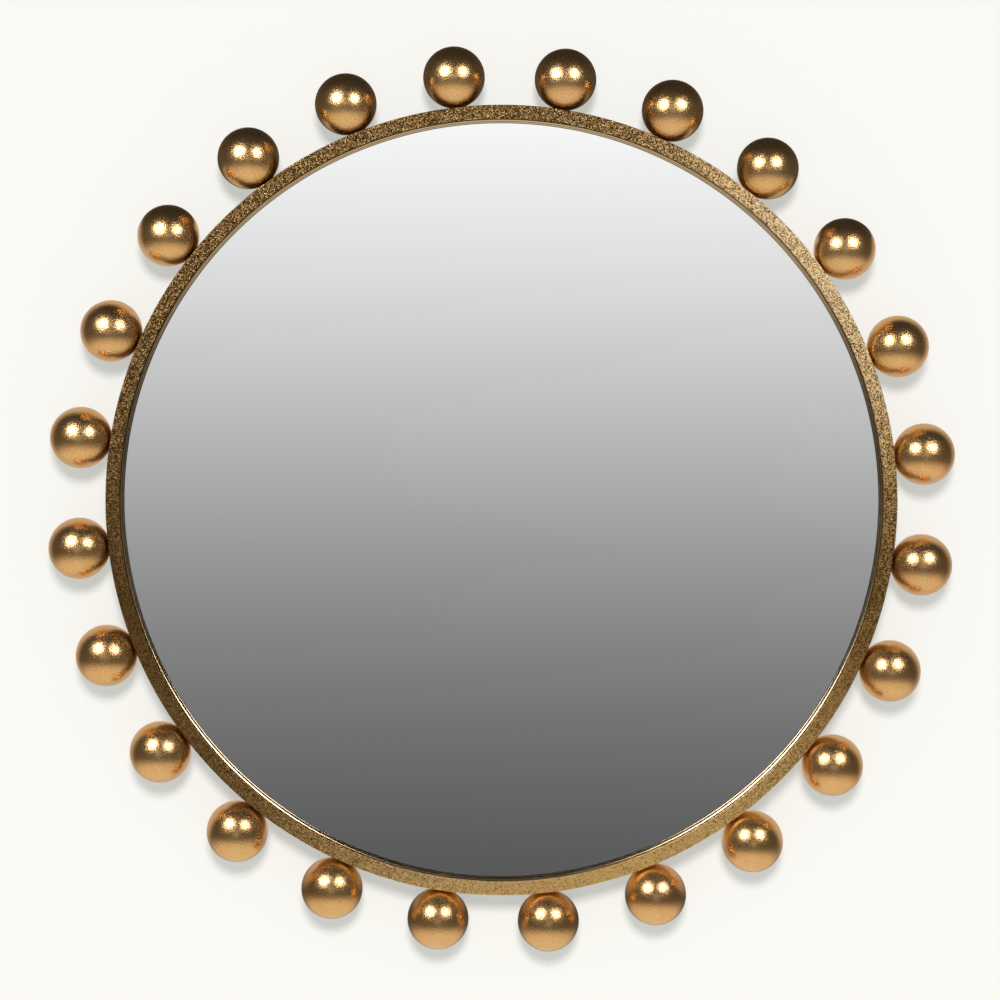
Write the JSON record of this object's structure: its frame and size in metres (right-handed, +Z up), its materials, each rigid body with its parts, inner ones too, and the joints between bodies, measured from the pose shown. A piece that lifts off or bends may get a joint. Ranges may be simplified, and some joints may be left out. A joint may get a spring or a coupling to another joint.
{
  "type": "girandole mirror",
  "caption": "Flat round wall mirror in a rolled metal ring with gilded balls round its outer edge, a beaded inner lip, and two D-ring hangers on its back board.",
  "frame": {"origin": "centre of the circle on which the ball centres lie, in the plane through the balls' centres, which is also the centre of the bounding box", "axes": "the mirror's front faces -Y, +Y points back into the wall, +Z is up and +X is to the viewer's right"},
  "size_m": [0.8824, 0.06, 0.8824],
  "materials": {
    "ring_gold": "antique gold spray with a coarse sparkling grain over rolled steel",
    "bead_gold": "smooth satin antique gold over rolled steel",
    "ball_gold": "turned wood covered in gold metal leaf, satin, darker towards the top",
    "mirror_glass": "clear float glass silvered on its back",
    "foam_tape": "dark closed-cell foam tape",
    "fibreboard": "dark brown hardboard with a fine felted texture",
    "packer_rubber": "black rubber blocks",
    "tab_steel": "gold-sprayed steel strip",
    "screw_steel": "zinc-plated steel",
    "hanger_steel": "brass-plated steel"
  },
  "bodies": {
    "mirror": {"frame_ring": "ring_gold", "bead_strip": "bead_gold", "glazing_tape": "foam_tape", "mirror_glass": "mirror_glass", "backboard": "fibreboard", "edge_packers": "packer_rubber", "retaining_tabs": "tab_steel", "balls": "ball_gold", "ball_screws": "screw_steel", "hanger_strap_left": "hanger_steel", "hanger_strap_right": "hanger_steel", "hanger_screws": "screw_steel"},
    "ring_left": {"hanger_ring_left": "hanger_steel"},
    "ring_right": {"hanger_ring_right": "hanger_steel"}
  },
  "joints": [
    {"name": "ring_left_swing", "type": "hinge", "parent": "mirror", "child": "ring_left", "pos_m": [-0.22, 0.0108, 0.14], "axis": [1, 0, 0], "range_deg": [0, 180]},
    {"name": "ring_right_swing", "type": "hinge", "parent": "mirror", "child": "ring_right", "pos_m": [0.22, 0.0108, 0.14], "axis": [1, 0, 0], "range_deg": [0, 180]}
  ]
}
